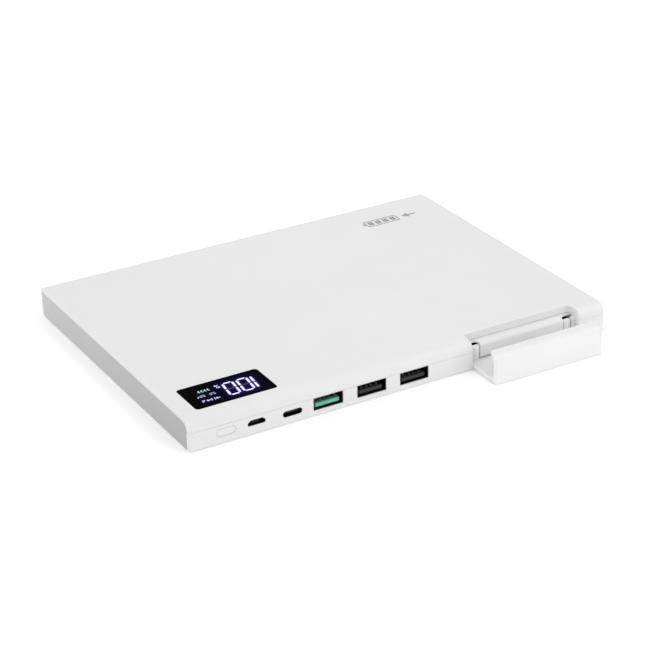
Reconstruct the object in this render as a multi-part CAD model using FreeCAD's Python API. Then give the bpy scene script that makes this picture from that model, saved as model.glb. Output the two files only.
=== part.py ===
import FreeCAD, Part
import math
import os

# A flat power pack: two covers, two end panels, three battery cells, a main
# board with its sockets, and a hook pulled out of the front edge.
# Millimetres. The origin is the centre of the case's footprint, on its underside.
# +X runs along the long edge, -Y is the front edge with the sockets, +Z is up.

os.makedirs("parts", exist_ok=True)
Vector = FreeCAD.Vector
UP = Vector(0, 0, 1)
BACKWARD = Vector(0, 1, 0)

BITE = 0.05            # overlap that joins two fused bodies
AIR = 0.02             # gap between parts that rest on each other

# Case
LENGTH, DEPTH, HEIGHT = 198.0, 146.0, 13.5
END = LENGTH / 2
FRONT, BACK = -DEPTH / 2, DEPTH / 2
WALL = 1.4
CEILING = HEIGHT - WALL
SEAM_Z = 8.45          # parting line between the covers
SEAM_GAP = 0.07
ROUND_REACH = 5.1      # reach of the big edge rounding
ROUND_HANDLE = 0.745   # handle length of that rounding, as a share of its reach
SMALL_R = 1.0          # radius of the small long edges
CORNER_R = 8.0         # plan radius of the front corners
CORNER_IN = 2.2        # the corner's arc starts this far from the end plane
BACK_CORNER_R = 2.0    # plan radius of the back corners
END_TOP = (1.1, 0.35)  # slope along the top's end edges: reach along X, drop along Z
END_LOW = (1.6, 0.85)  # the same along the bottom's end edges
PANEL_T = 1.2          # end panel thickness
PANEL_IN = 0.95        # lip of the covers around an end panel
PANEL_GAP = 0.05
TONGUE_T = 0.60        # tongue of the bottom cover inside the top cover
TONGUE_H = 1.0
TONGUE_GAP = 0.05

# Hook bay
BAY_X0, BAY_X1 = 32.4, 86.0
BAY_WALL = 1.5
BAY_OUT_X0, BAY_OUT_X1 = BAY_X0 - BAY_WALL, BAY_X1 + BAY_WALL
BAY_BACK = FRONT + 7.5          # back edge of the bay in the top cover
BAY_CORNER = 2.2
INNER_WALL_Y = FRONT + 3.4      # front face of the bay's inner wall
INNER_WALL_TOP = 9.90
INNER_ROOF_T = 0.75
BAY_STEP_Z = INNER_WALL_TOP + 0.15  # the bay reaches further back below this
CHANNEL_FLOOR, CHANNEL_TOP = 0.5, 3.10  # channel of the hook's plate
CHANNEL_ROOF = CHANNEL_TOP + 1.2
CHANNEL_BACK = FRONT + 36.0

# Hook, drawn pulled out
HOOK_FRONT = FRONT - 17.0
HOOK_TRAVEL = FRONT - HOOK_FRONT
HOOK_T = 2.4
HOOK_LIP = 6.5         # depth of the lip at its top
HOOK_X0, HOOK_X1 = BAY_X0 + 0.15, BAY_X1 - 0.15
LIP_CORNER = 3.8       # plan radius of the lip's back corners
PLATE_Z0, PLATE_Z1 = 0.7, 2.55
PLATE_REAR = FRONT + 18.0
POST_X = (36.2, 82.4)
POST_W = 3.5
POST_Y0, POST_Y1 = FRONT + 3.0, FRONT + 5.2
POST_TOP = 8.75
ARM_W = 2.2
ARM_TOP = 6.6
BAR_Y0, BAR_Y1 = PLATE_REAR - 6.0, PLATE_REAR
BAR_Y = (BAR_Y0 + BAR_Y1) / 2
BAR_Z0 = ARM_TOP + AIR
BAR_Z1 = BAR_Z0 + 1.0

# Sockets: centres, opening widths and heights, front and back of each shell
SOCKET_GAP = 0.08
OPENING_Y = (FRONT - 1, FRONT + WALL + 0.6)
USB_A_X = (-36.52, -16.32, 3.88)
USB_A_Z, USB_A_W, USB_A_H = 5.50, 13.55, 5.4
USB_A_DEPTH, USB_A_SHEET = 13.6, 0.30
USB_A_FRONT = FRONT + 0.35
USB_A_BACK = USB_A_FRONT + USB_A_DEPTH
USB_A_INNER_BACK = USB_A_BACK - USB_A_SHEET
USB_A_TONGUE_Z0 = USB_A_Z - USB_A_H / 2 + USB_A_SHEET + 0.37
USB_A_TONGUE_Z1 = USB_A_TONGUE_Z0 + 1.85
USB_A_CONTACT_X = (-3.5, -1.0, 1.0, 3.5)
USB_C_X, USB_C_Z, USB_C_W, USB_C_H = -52.9, 4.90, 8.7, 2.55
USB_C_SHEET = 0.14
USB_C_FRONT = FRONT + 0.15
USB_C_BACK = USB_C_FRONT + 7.6
USB_C_INNER_BACK = USB_C_BACK - USB_C_SHEET
USB_C_TONGUE_HALF_T = 0.35
MICRO_X, MICRO_Z, MICRO_W, MICRO_H = -69.0, 5.47, 7.8, 2.35
MICRO_SHEET = 0.15
MICRO_FRONT = FRONT + 0.15
MICRO_BACK = MICRO_FRONT + 5.6
MICRO_INNER_BACK = MICRO_BACK - MICRO_SHEET

# Power button and the switch behind it
BUTTON_X, BUTTON_Z, BUTTON_W, BUTTON_H = -82.4, 5.25, 8.35, 3.15
SWITCH_TIP = FRONT + WALL + 2.25

# Display
DISPLAY_X0, DISPLAY_X1 = -91.1, -54.8
DISPLAY_Y0, DISPLAY_Y1 = FRONT + 7.75, FRONT + 26.7
DISPLAY_R = 1.5
WINDOW_Z1 = HEIGHT - 0.06
WINDOW_Z0 = WINDOW_Z1 - 1.0
WINDOW_GAP = 0.06

# Main board: the sockets hang below it and the display stands on it
BOARD_X0, BOARD_X1 = -94.0, 25.0
BOARD_Y0, BOARD_Y1 = FRONT + 1.9, FRONT + 27.0
BOARD_LOW = 8.24
BOARD_TOP = BOARD_LOW + 1.0
UNDER_BOARD = BOARD_LOW - AIR
BOSS_BACK_Y = BOARD_Y1 - 2.6
BOSSES = [(-92.2, BOSS_BACK_Y), (-44.8, BOSS_BACK_Y), (-6.3, BOSS_BACK_Y),
          (21.5, BOSS_BACK_Y), (21.5, BOARD_Y0 + 3.2)]

# Battery cells: X range of each, then their common Y and Z ranges
CELL_X = ((-94.0, -33.0), (-31.0, 30.0), (32.0, 93.0))
CELL_Y0, CELL_Y1 = -31.0, 69.0
CELL_Z0, CELL_Z1 = 2.0, 11.4
PAD_GAP = 0.03
PROTECTION_Y0, PROTECTION_Y1 = CELL_Y0 - 2.4, CELL_Y0 - 1.5


# Helpers
def box(x0, x1, y0, y1, z0, z1):
    return Part.makeBox(x1 - x0, y1 - y0, z1 - z0, Vector(x0, y0, z0))


def mid_box(x, width, y0, y1, z0, z1):
    """Box centred on x."""
    return box(x - width / 2, x + width / 2, y0, y1, z0, z1)


def slab(z0, z1):
    """Layer wider than every part."""
    return box(-200, 200, -200, 200, z0, z1)


def cylinder(x, y, z, radius, height, axis=UP):
    return Part.makeCylinder(radius, height, Vector(x, y, z), axis)


def line(start, end):
    return Part.makeLine(start, end)


def arc(start, middle, end):
    return Part.Arc(start, middle, end).toShape()


def corner(start, tip, end):
    """Quarter circle that rounds the square corner at tip."""
    middle = tip + (start - tip + end - tip) * (1 - math.sqrt(0.5))
    return arc(start, middle, end)


def curve(*poles):
    bezier = Part.BezierCurve()
    bezier.setPoles(list(poles))
    return bezier.toShape()


def bar(place, sweep, start, *steps):
    """Sweep a closed outline. A step is an edge function and its points after
    the current one; place turns two coordinates into a point in space."""
    edges = []
    here = place(*start)
    for make_edge, *points in steps:
        points = [place(*point) for point in points]
        edges.append(make_edge(here, *points))
        here = points[-1]
    return Part.Face(Part.Wire(edges)).extrude(sweep)


def bar_x(x0, x1, start, *steps):
    """Bar along X from an outline of (y, z) points."""
    return bar(lambda y, z: Vector(x0, y, z), Vector(x1 - x0, 0, 0), start, *steps)


def bar_y(y0, y1, start, *steps):
    """Bar along Y from an outline of (x, z) points."""
    return bar(lambda x, z: Vector(x, y0, z), Vector(0, y1 - y0, 0), start, *steps)


def bar_z(z0, z1, start, *steps):
    """Bar along Z from an outline of (x, y) points."""
    return bar(lambda x, y: Vector(x, y, z0), Vector(0, 0, z1 - z0), start, *steps)


def rounded_steps(left, right, low, high, radius):
    """Start point and steps of a rounded rectangle."""
    return [(left + radius, low),
            (line, (right - radius, low)),
            (corner, (right, low), (right, low + radius)),
            (line, (right, high - radius)),
            (corner, (right, high), (right - radius, high)),
            (line, (left + radius, high)),
            (corner, (left, high), (left, high - radius)),
            (line, (left, low + radius)),
            (corner, (left, low), (left + radius, low))]


def rounded_y(x, z, width, height, radius, y0, y1):
    """Bar along Y with a rounded rectangular section centred on x, z."""
    steps = rounded_steps(x - width / 2, x + width / 2, z - height / 2, z + height / 2, radius)
    return bar_y(y0, y1, *steps)


def rounded_z(x0, x1, y0, y1, radius, z0, z1):
    """Bar along Z with a rounded rectangular plan."""
    return bar_z(z0, z1, *rounded_steps(x0, x1, y0, y1, radius))


def stadium_y(x, z, width, height, y0, y1):
    """Bar along Y with a stadium section centred on x, z."""
    radius = height / 2
    left, right = x - width / 2 + radius, x + width / 2 - radius
    return bar_y(y0, y1, (left, z - radius),
                 (line, (right, z - radius)),
                 (arc, (right + radius, z), (right, z + radius)),
                 (line, (left, z + radius)),
                 (arc, (left - radius, z), (left, z - radius)))


def micro_y(x, z, width, height, y0, y1):
    """Bar along Y with a micro socket's section: the two top corners are cut."""
    left, right = x - width / 2, x + width / 2
    low, high = z - height / 2, z + height / 2
    radius = min(0.7, 0.42 * height)
    cut_x, cut_z = 0.17 * width, 0.42 * height
    return bar_y(y0, y1, (left + cut_x, high),
                 (line, (right - cut_x, high)),
                 (line, (right, high - cut_z)),
                 (line, (right, low + radius)),
                 (corner, (right, low), (right - radius, low)),
                 (line, (left + radius, low)),
                 (corner, (left, low), (left, low + radius)),
                 (line, (left, high - cut_z)),
                 (line, (left + cut_x, high)))


def fillet_if_valid(shape, edges, radii):
    """Fillet with the first radius that gives a valid shape, or leave it as it is."""
    for radius in radii:
        try:
            rounded = shape.makeFillet(radius, edges)
        except Exception:  # the kernel can refuse a radius: go on to the next
            continue
        if rounded.isValid():
            return rounded
    return shape


def save(name, shape):
    """Write one STEP file; a list of solids becomes a compound."""
    if not isinstance(shape, Part.Shape):
        shape = Part.makeCompound(shape)
    for solid in shape.Solids:
        if not solid.isValid():
            solid.fix(1e-5, 1e-5, 1e-5)
    shape.exportStep("parts/%s.step" % name)


# Case blanks
def case_section(inset, end_inset=0.0):
    """The case's cross-section, drawn in by inset, as a bar along X. The big
    roundings are at the front's top and the back's bottom."""
    y0, y1 = FRONT + inset, BACK - inset
    z0, z1 = inset, HEIGHT - inset
    small = max(SMALL_R - inset, 0.08)
    reach = ROUND_REACH - 0.85 * inset
    top_handle = reach * ROUND_HANDLE
    low_handle = reach * 0.62
    return bar_x(-END + end_inset, END - end_inset, (y0, z0 + small),
                 (line, (y0, z1 - reach)),
                 (curve, (y0, z1 - reach + top_handle), (y0 + reach - top_handle, z1),
                  (y0 + reach, z1)),
                 (line, (y1 - small, z1)),
                 (corner, (y1, z1), (y1, z1 - small)),
                 (line, (y1, z0 + reach)),
                 (curve, (y1, z0 + reach - low_handle), (y1 - reach + low_handle, z0),
                  (y1 - reach, z0)),
                 (line, (y0 + small, z0)),
                 (corner, (y0, z0), (y0, z0 + small)))


def case_plan(inset):
    """Plan outline of the case, drawn in by inset along Y, flat at both ends."""
    arc_x = END - CORNER_IN
    radius = CORNER_R - inset
    middle = 0.55 * CORNER_IN
    back = BACK - inset
    back_x = END - BACK_CORNER_R
    back_y = back - BACK_CORNER_R

    def arc_y(along):
        return FRONT + CORNER_R - math.sqrt(radius * radius - along * along)

    return bar_z(-1, HEIGHT + 1, (-arc_x, FRONT + inset),
                 (line, (arc_x, FRONT + inset)),
                 (arc, (arc_x + middle, arc_y(middle)), (END, arc_y(CORNER_IN))),
                 (line, (END, back_y)),
                 (corner, (END, back), (back_x, back)),
                 (line, (-back_x, back)),
                 (corner, (-END, back), (-END, back_y)),
                 (line, (-END, arc_y(CORNER_IN))),
                 (arc, (-arc_x - middle, arc_y(middle)), (-arc_x, FRONT + inset)))


def case_side():
    """Side outline with the sloped end edges of top and bottom, as a bar along Y."""
    (top_x, top_z), (low_x, low_z) = END_TOP, END_LOW
    top_pole = (END - 0.32 * top_x, HEIGHT - 0.30 * top_z)
    low_pole = (END - 0.30 * low_x, 0.30 * low_z)
    return bar_y(-90, 90, (-END, low_z),
                 (curve, (-low_pole[0], low_pole[1]), (-END + low_x, 0)),
                 (line, (END - low_x, 0)),
                 (curve, low_pole, (END, low_z)),
                 (line, (END, HEIGHT - top_z)),
                 (curve, top_pole, (END - top_x, HEIGHT)),
                 (line, (-END + top_x, HEIGHT)),
                 (curve, (-top_pole[0], top_pole[1]), (-END, HEIGHT - top_z)),
                 (line, (-END, low_z)))


def panel_blanks(inset, thickness):
    """Left and right end slices of the case, drawn in by inset."""
    blank = case_section(inset).common(case_plan(inset))
    return [blank.common(box(x0, x1, -200, 200, -1, HEIGHT + 1))
            for x0, x1 in ((-END - 1, -END + thickness), (END - thickness, END + 1))]


def seam_ring(inset, end_inset, z0, z1, bay_gap):
    """Ring on the inside of the wall along the seam, left out around the bay."""
    ring = case_section(inset, end_inset).cut(case_section(WALL)).common(slab(z0, z1))
    return ring.cut(box(BAY_OUT_X0 - bay_gap, BAY_OUT_X1 + bay_gap,
                        FRONT - 1, FRONT + 12, 0, HEIGHT))


def cell_ribs(z0, z1):
    """Ribs between neighbouring cells."""
    ribs = []
    for left, right in zip(CELL_X, CELL_X[1:]):
        ribs.append(mid_box((left[1] + right[0]) / 2, 1.2, CELL_Y0 + 2, CELL_Y1 - 2, z0, z1))
    return ribs


def usb_a_opening(x):
    return rounded_y(x, USB_A_Z, USB_A_W + 2 * SOCKET_GAP, USB_A_H + 2 * SOCKET_GAP,
                     0.35, *OPENING_Y)


def front_openings():
    """Cutters for the sockets and the button in the front wall."""
    around = 2 * SOCKET_GAP
    return [usb_a_opening(x) for x in USB_A_X] + [
        stadium_y(USB_C_X, USB_C_Z, USB_C_W + around, USB_C_H + around, *OPENING_Y),
        micro_y(MICRO_X, MICRO_Z, MICRO_W + around, MICRO_H + around, *OPENING_Y),
        stadium_y(BUTTON_X, BUTTON_Z, BUTTON_W + around, BUTTON_H + around, *OPENING_Y)]


def display_bar(inset, radius, z0, z1):
    """Upright bar with the display's outline drawn in by inset."""
    return rounded_z(DISPLAY_X0 + inset, DISPLAY_X1 - inset,
                     DISPLAY_Y0 + inset, DISPLAY_Y1 - inset, radius, z0, z1)


# Top cover
def bay_opening():
    """Bay in the top cover's upper face, with rounded back corners."""
    return bar_z(BAY_STEP_Z, BAY_STEP_Z + HEIGHT, (BAY_X0, FRONT - 5),
                 (line, (BAY_X1, FRONT - 5)),
                 (line, (BAY_X1, BAY_BACK - BAY_CORNER)),
                 (corner, (BAY_X1, BAY_BACK), (BAY_X1 - BAY_CORNER, BAY_BACK)),
                 (line, (BAY_X0 + BAY_CORNER, BAY_BACK)),
                 (corner, (BAY_X0, BAY_BACK), (BAY_X0, BAY_BACK - BAY_CORNER)),
                 (line, (BAY_X0, FRONT - 5)))


def is_bay_edge(edge):
    """True for the bay's edges in the upper face, except near the front."""
    bound = edge.BoundBox
    return (abs(bound.ZMin - HEIGHT) < 1e-3 and abs(bound.ZMax - HEIGHT) < 1e-3
            and bound.XMin > BAY_X0 - 0.01 and bound.XMax < BAY_X1 + 0.01
            and FRONT + 2 < bound.YMin and bound.YMax < BAY_BACK + 0.01)


def top_cover(outer, cavity, rebates):
    # solid material stays around the bay
    bay_zone = box(BAY_OUT_X0, BAY_OUT_X1, FRONT - 5, BAY_BACK + BAY_WALL, SEAM_Z - 5, HEIGHT)
    cover = outer.cut(cavity.cut(bay_zone)).common(slab(SEAM_Z + SEAM_GAP / 2, HEIGHT + 5))
    for rib in cell_ribs(9.2, CEILING + BITE):
        cover = cover.fuse(rib)
    cover = cover.cut(bay_opening())
    cover = cover.cut(box(BAY_X0, BAY_X1, FRONT - 5, BAY_BACK + 2.4, CHANNEL_TOP, BAY_STEP_Z))
    cover = fillet_if_valid(cover, [e for e in cover.Edges if is_bay_edge(e)], (0.5, 0.35))
    # groove for the bottom cover's tongue
    cover = cover.cut(seam_ring(WALL - TONGUE_T - TONGUE_GAP, 0.0,
                                SEAM_Z - 0.1, SEAM_Z + TONGUE_H + 0.1, 0.0))
    for rebate in rebates:
        cover = cover.cut(rebate)
    # display opening with a ledge for the window, and a frame below it
    window_hole = display_bar(-WINDOW_GAP, DISPLAY_R + WINDOW_GAP, WINDOW_Z0, HEIGHT + 1)
    through = display_bar(1.4, 0.8, HEIGHT - 4, HEIGHT + 1)
    cover = cover.cut(window_hole).cut(through)
    frame = display_bar(0.2, 1.0, CEILING - 2.0, CEILING + BITE).cut(through)
    cover = cover.fuse(frame).cut(window_hole).removeSplitter()
    # the tall sockets may reach past the seam: relieve the edge over them
    for x in USB_A_X:
        cover = cover.cut(usb_a_opening(x))
    return cover


# Bottom cover
def post_slot(post_x, back, top):
    """Slot that lets a post and its arm pass."""
    return mid_box(post_x, POST_W + 0.3, FRONT - 2, back, CHANNEL_TOP - 1, top)


def inner_wall():
    """Wall across the bay that bends back into a flat roof, open at the posts."""
    front, inside = INNER_WALL_Y, INNER_WALL_Y + 1.2
    bend_y, bend_z = FRONT + 6.2, 7.9
    back = BAY_BACK + 2.3
    top, under = INNER_WALL_TOP, INNER_WALL_TOP - INNER_ROOF_T
    wall = bar_x(BAY_X0, BAY_X1, (front, CHANNEL_TOP),
                 (line, (front, bend_z)),
                 (curve, (front, bend_z + 1.25), (bend_y - 1.7, top), (bend_y, top)),
                 (line, (back, top)),
                 (line, (back, under)),
                 (line, (bend_y, under)),
                 (curve, (bend_y - 1.0, under), (inside, bend_z + 0.9), (inside, bend_z)),
                 (line, (inside, CHANNEL_TOP)),
                 (line, (front, CHANNEL_TOP)))
    reach = POST_W / 2 + 0.35
    windows = ((POST_X[0], BAY_X0 - 1.0, POST_X[0] + reach),
               (POST_X[1], POST_X[1] - reach, BAY_X1 + 1.0))
    for post_x, x0, x1 in windows:
        wall = wall.cut(rounded_z(x0, x1, FRONT - 2.0, FRONT + 6.1, 2.3,
                                  CHANNEL_TOP - 1, HEIGHT))
        wall = wall.cut(post_slot(post_x, FRONT + 12, POST_TOP + 0.12))
    return wall


def post_ribs():
    """Ribs that fill the space between each post and the end of the bay."""
    top = 9.4
    reach = POST_W / 2 + 0.18
    ribs = []
    for x0, x1 in ((BAY_X0, POST_X[0] - reach), (POST_X[1] + reach, BAY_X1)):
        rib = box(x0, x1, FRONT + 2.75, FRONT + 4.8, CHANNEL_TOP, top)
        long_edges = [e for e in rib.Edges
                      if abs(e.BoundBox.ZMin - top) < 1e-3 and e.BoundBox.XLength > 0.5]
        ribs.append(rib.makeFillet(0.9, long_edges))
    return ribs


def bay_end_rounding(bay_x, outward):
    """Cutter that rounds the case's bottom edge where the bay ends."""
    radius = 1.6
    centre_x = bay_x + outward * radius
    x0, x1 = sorted((centre_x, bay_x - outward * 0.01))
    cutter = box(x0, x1, FRONT - 1, INNER_WALL_Y, -1, radius)
    return cutter.cut(cylinder(centre_x, FRONT - 2, radius, radius, 8, BACKWARD))


def bottom_cover(outer, cavity, rebates):
    lower = slab(-1, SEAM_Z - SEAM_GAP / 2)
    # solid material stays around the channel and at the bay's ends
    channel_zone = box(BAY_OUT_X0, BAY_OUT_X1, FRONT - 5, CHANNEL_BACK + BAY_WALL,
                       0, CHANNEL_ROOF)
    bay_ends = box(BAY_OUT_X0, BAY_X0, FRONT, FRONT + 10.0, 0, SEAM_Z).fuse(
        box(BAY_X1, BAY_OUT_X1, FRONT, FRONT + 10.0, 0, SEAM_Z)).common(outer)
    cover = outer.cut(cavity.cut(channel_zone)).common(lower).fuse(bay_ends.common(lower))
    cover = cover.fuse(seam_ring(WALL - TONGUE_T, 1.5, SEAM_Z - 0.6, SEAM_Z + TONGUE_H, 0.1))
    # the bay, then the plate's channel, open at the front
    cover = cover.cut(box(BAY_X0, BAY_X1, FRONT - 5, BAY_BACK + 4.0, CHANNEL_ROOF, HEIGHT))
    cover = cover.cut(box(BAY_X0, BAY_X1, FRONT - 5, INNER_WALL_Y, -1, HEIGHT))
    cover = cover.cut(box(BAY_X0, BAY_X1, FRONT - 5, CHANNEL_BACK, CHANNEL_FLOOR, CHANNEL_TOP))
    cover = cover.fuse(inner_wall())
    for rib in post_ribs():
        cover = cover.fuse(rib)
    for bay_x, outward in ((BAY_X0, -1), (BAY_X1, 1)):
        cover = cover.cut(bay_end_rounding(bay_x, outward))
    for post_x in POST_X:
        cover = cover.cut(post_slot(post_x, CHANNEL_BACK, CHANNEL_ROOF + 0.01))
    # ribs between the cells, and one between the cells and the board
    floor, rib_top = WALL - BITE, 5.5
    for rib in cell_ribs(floor, rib_top):
        cover = cover.fuse(rib)
    cover = cover.fuse(box(-95, 27, -33.6, -32.6, floor, rib_top))
    # bosses for the board's screws
    for x, y in BOSSES:
        cover = cover.fuse(cylinder(x, y, floor, 2.0, BOARD_LOW - floor))
    for x, y in BOSSES:
        cover = cover.cut(cylinder(x, y, BOARD_LOW - 5.0, 0.65, 9.0))
    for opening in front_openings():
        cover = cover.cut(opening)
    for rebate in rebates:
        cover = cover.cut(rebate)
    return cover.removeSplitter()


# End panels
def end_panel(blank, side):
    """Panel with three pairs of clip tabs; side is -1 for left, 1 for right."""
    x0, x1 = sorted((side * (END - PANEL_T + BITE), side * (END - PANEL_T - 2.2)))
    panel = blank
    for y in (-45.0, 0.0, 45.0):
        panel = panel.fuse(box(x0, x1, y - 4, y + 4, CEILING - 0.85, CEILING - 0.05))
        panel = panel.fuse(box(x0, x1, y - 4, y + 4, WALL + 0.05, WALL + 0.45))
    return panel.removeSplitter()


# Main board
def main_board():
    board = box(BOARD_X0, BOARD_X1, BOARD_Y0, BOARD_Y1, BOARD_LOW, BOARD_TOP)
    for x, y in BOSSES:
        board = board.cut(cylinder(x, y, 0, 0.95, 12))
    return board


def board_screw(x, y):
    """Screw with a cross recess."""
    shank_z = BOARD_LOW - 4.6
    recess_z = BOARD_TOP + 0.42
    screw = cylinder(x, y, BOARD_TOP + AIR, 1.5, 0.8)
    screw = screw.fuse(cylinder(x, y, shank_z, 0.6, BOARD_TOP + BITE - shank_z))
    for half_x, half_y in ((1.0, 0.15), (0.15, 1.0)):
        screw = screw.cut(box(x - half_x, x + half_x, y - half_y, y + half_y,
                              recess_z, BOARD_TOP + 1))
    return screw.removeSplitter()


# USB-A sockets
def usb_a_shell(x):
    sheet = USB_A_SHEET
    shell = rounded_y(x, USB_A_Z, USB_A_W, USB_A_H, 0.45, USB_A_FRONT, USB_A_BACK)
    shell = shell.cut(rounded_y(x, USB_A_Z, USB_A_W - 2 * sheet, USB_A_H - 2 * sheet, 0.25,
                                USB_A_FRONT - 1, USB_A_INNER_BACK))
    # three slits in the top free each spring tab: x0, x1, back end
    slits = ((-0.9, 0.9, 3.4), (-1.2, -0.9, 8.0), (0.9, 1.2, 8.0))
    for tab_x in (x - 2.9, x + 2.9):
        for x0, x1, back in slits:
            shell = shell.cut(box(tab_x + x0, tab_x + x1, USB_A_FRONT + 3.0, USB_A_FRONT + back,
                                  USB_A_Z + 2.0, USB_A_Z + 4))
    return shell.removeSplitter()


def usb_a_tongue(x):
    tip = USB_A_FRONT + 0.7
    root = USB_A_INNER_BACK - 3.0
    block = mid_box(x, 12.4, root, USB_A_INNER_BACK - 0.05, USB_A_Z - 2.3, USB_A_Z + 2.3)
    tongue = mid_box(x, 11.2, tip, root + 0.1, USB_A_TONGUE_Z0, USB_A_TONGUE_Z1)
    tongue = tongue.makeFillet(0.45, [e for e in tongue.Edges
                                      if abs(e.BoundBox.YMax - tip) < 1e-3])
    for contact_x in USB_A_CONTACT_X:
        tongue = tongue.cut(mid_box(x + contact_x, 1.2, USB_A_FRONT + 1.9, root,
                                    USB_A_TONGUE_Z1 - 0.25, USB_A_TONGUE_Z1 + 1))
    return block.fuse(tongue).removeSplitter()


def usb_a_contact(x):
    """Leaf spring lying in its groove, bowed up near its front end. Points are
    (distance behind the shell's front, height above the tongue)."""
    width = 1.0
    end = USB_A_DEPTH - USB_A_SHEET - 3.02
    return bar(lambda y, z: Vector(x - width / 2, USB_A_FRONT + y, USB_A_TONGUE_Z1 + z),
               Vector(width, 0, 0), (2.0, -0.24),
               (line, (2.0, -0.06)),
               (curve, (2.5, 0.25), (2.7, 0.62), (3.4, 0.62)),
               (curve, (4.3, 0.62), (5.0, 0.0), (6.5, -0.05)),
               (line, (end, -0.05)),
               (line, (end, -0.24)),
               (line, (6.5, -0.24)),
               (curve, (5.0, -0.2), (4.2, 0.44), (3.4, 0.44)),
               (curve, (2.9, 0.44), (2.7, 0.0), (2.3, -0.24)),
               (line, (2.0, -0.24)))


# USB-C and micro USB sockets
def small_shell(section, x, z, width, height, sheet, front, back, leg_x, leg_y):
    """Shell open at the front, with four legs up to the board."""
    shell = section(x, z, width, height, front, back).cut(
        section(x, z, width - 2 * sheet, height - 2 * sheet, front - 1, back - sheet))
    for along in (-leg_x, leg_x):
        for behind in leg_y:
            shell = shell.fuse(mid_box(x + along, 1.0, front + behind, front + behind + 1.0,
                                       z + height / 2 - 0.1, BOARD_LOW - 0.01))
    return shell.removeSplitter()


def usb_c_tongue():
    inside = 2 * USB_C_SHEET + 0.1
    block = stadium_y(USB_C_X, USB_C_Z, USB_C_W - inside, USB_C_H - inside,
                      USB_C_INNER_BACK - 1.6, USB_C_INNER_BACK - 0.05)
    tongue = mid_box(USB_C_X, 6.7, USB_C_FRONT + 1.3, USB_C_INNER_BACK - 1.5,
                     USB_C_Z - USB_C_TONGUE_HALF_T, USB_C_Z + USB_C_TONGUE_HALF_T)
    return block.fuse(tongue).removeSplitter()


def usb_c_contacts():
    """Eight contacts below the tongue and eight above it."""
    thickness, pitch = 0.08, 0.72
    contacts = []
    for z0 in (USB_C_Z - USB_C_TONGUE_HALF_T - thickness, USB_C_Z + USB_C_TONGUE_HALF_T):
        for i in range(8):
            contacts.append(mid_box(USB_C_X + (i - 3.5) * pitch, 0.28, USB_C_FRONT + 1.7,
                                    USB_C_INNER_BACK - 1.62, z0, z0 + thickness))
    return contacts


def micro_usb_tongue():
    block = mid_box(MICRO_X, 4.6, MICRO_INNER_BACK - 1.2, MICRO_INNER_BACK - 0.05,
                    MICRO_Z - 0.95, MICRO_Z + 0.95)
    tongue = mid_box(MICRO_X, 3.8, MICRO_FRONT + 1.2, MICRO_INNER_BACK - 1.1,
                     MICRO_Z - 0.65, MICRO_Z - 0.10)
    return block.fuse(tongue).removeSplitter()


# Power button and its switch
def power_button():
    """Cap in the front wall, a wider flange behind the wall and a stem."""
    wall_back = FRONT + WALL
    cap = stadium_y(BUTTON_X, BUTTON_Z, BUTTON_W, BUTTON_H, FRONT, wall_back + BITE)
    cap = cap.makeFillet(0.18, [e for e in cap.Edges if abs(e.BoundBox.YMin - FRONT) < 1e-4
                                and e.BoundBox.YLength < 1e-4])
    neck = stadium_y(BUTTON_X, BUTTON_Z, BUTTON_W, BUTTON_H, wall_back, wall_back + 0.7)
    flange = stadium_y(BUTTON_X, BUTTON_Z, BUTTON_W + 1.5, BUTTON_H + 1.3,
                       wall_back + 0.65, wall_back + 1.35)
    stem = cylinder(BUTTON_X, wall_back + 1.3, BUTTON_Z, 1.1, 0.9, BACKWARD)
    return cap.fuse(neck).fuse(flange).fuse(stem).removeSplitter()


def switch_body():
    body = mid_box(BUTTON_X, 6.0, SWITCH_TIP + 0.8, SWITCH_TIP + 4.3,
                   BUTTON_Z - 1.9, BOARD_LOW - 0.01)
    return body.cut(cylinder(BUTTON_X, SWITCH_TIP - 1, BUTTON_Z, 0.95, 4.0, BACKWARD))


# Hook
def hook_wall():
    """Front wall of the hook; its outside follows the case and its top is a lip."""
    front, inside, lip_back = HOOK_FRONT, HOOK_FRONT + HOOK_T, HOOK_FRONT + HOOK_LIP
    reach, handle = ROUND_REACH, ROUND_REACH * ROUND_HANDLE
    edge_r, under_r = 0.8, 0.35
    lip_low = 11.8
    wall = bar_x(HOOK_X0, HOOK_X1, (front, edge_r),
                 (line, (front, HEIGHT - reach)),
                 (curve, (front, HEIGHT - reach + handle), (front + reach - handle, HEIGHT),
                  (front + reach, HEIGHT)),
                 (line, (lip_back - edge_r, HEIGHT)),
                 (corner, (lip_back, HEIGHT), (lip_back, HEIGHT - edge_r)),
                 (line, (lip_back, lip_low + under_r)),
                 (corner, (lip_back, lip_low), (lip_back - under_r, lip_low)),
                 (curve, (front + 4.4, 11.75), (inside, 11.3), (inside, 9.2)),
                 (line, (inside, 0)),
                 (line, (front + edge_r, 0)),
                 (corner, (front, 0), (front, edge_r)))
    # soften the outer edges of the wall's two ends
    end_edges = [e for e in wall.Edges if e.BoundBox.XLength < 1e-3
                 and (e.CenterOfMass.z > 12.0 or e.CenterOfMass.y < front + 0.35)
                 and e.CenterOfMass.y < lip_back - 0.1]
    wall = fillet_if_valid(wall, end_edges, (0.6, 0.45, 0.3))
    # the lip's back corners are rounder than the corners of the bay
    return wall.common(rounded_z(HOOK_X0, HOOK_X1, front - 4.5, lip_back, LIP_CORNER,
                                 -1, HEIGHT + 1))


def hook_plate():
    plate = box(HOOK_X0, HOOK_X1, HOOK_FRONT + 1.0, PLATE_REAR, PLATE_Z0, PLATE_Z1)
    return plate.makeFillet(0.3, [e for e in plate.Edges if e.BoundBox.YLength > 10
                                  and e.BoundBox.ZLength < 1e-3])


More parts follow.
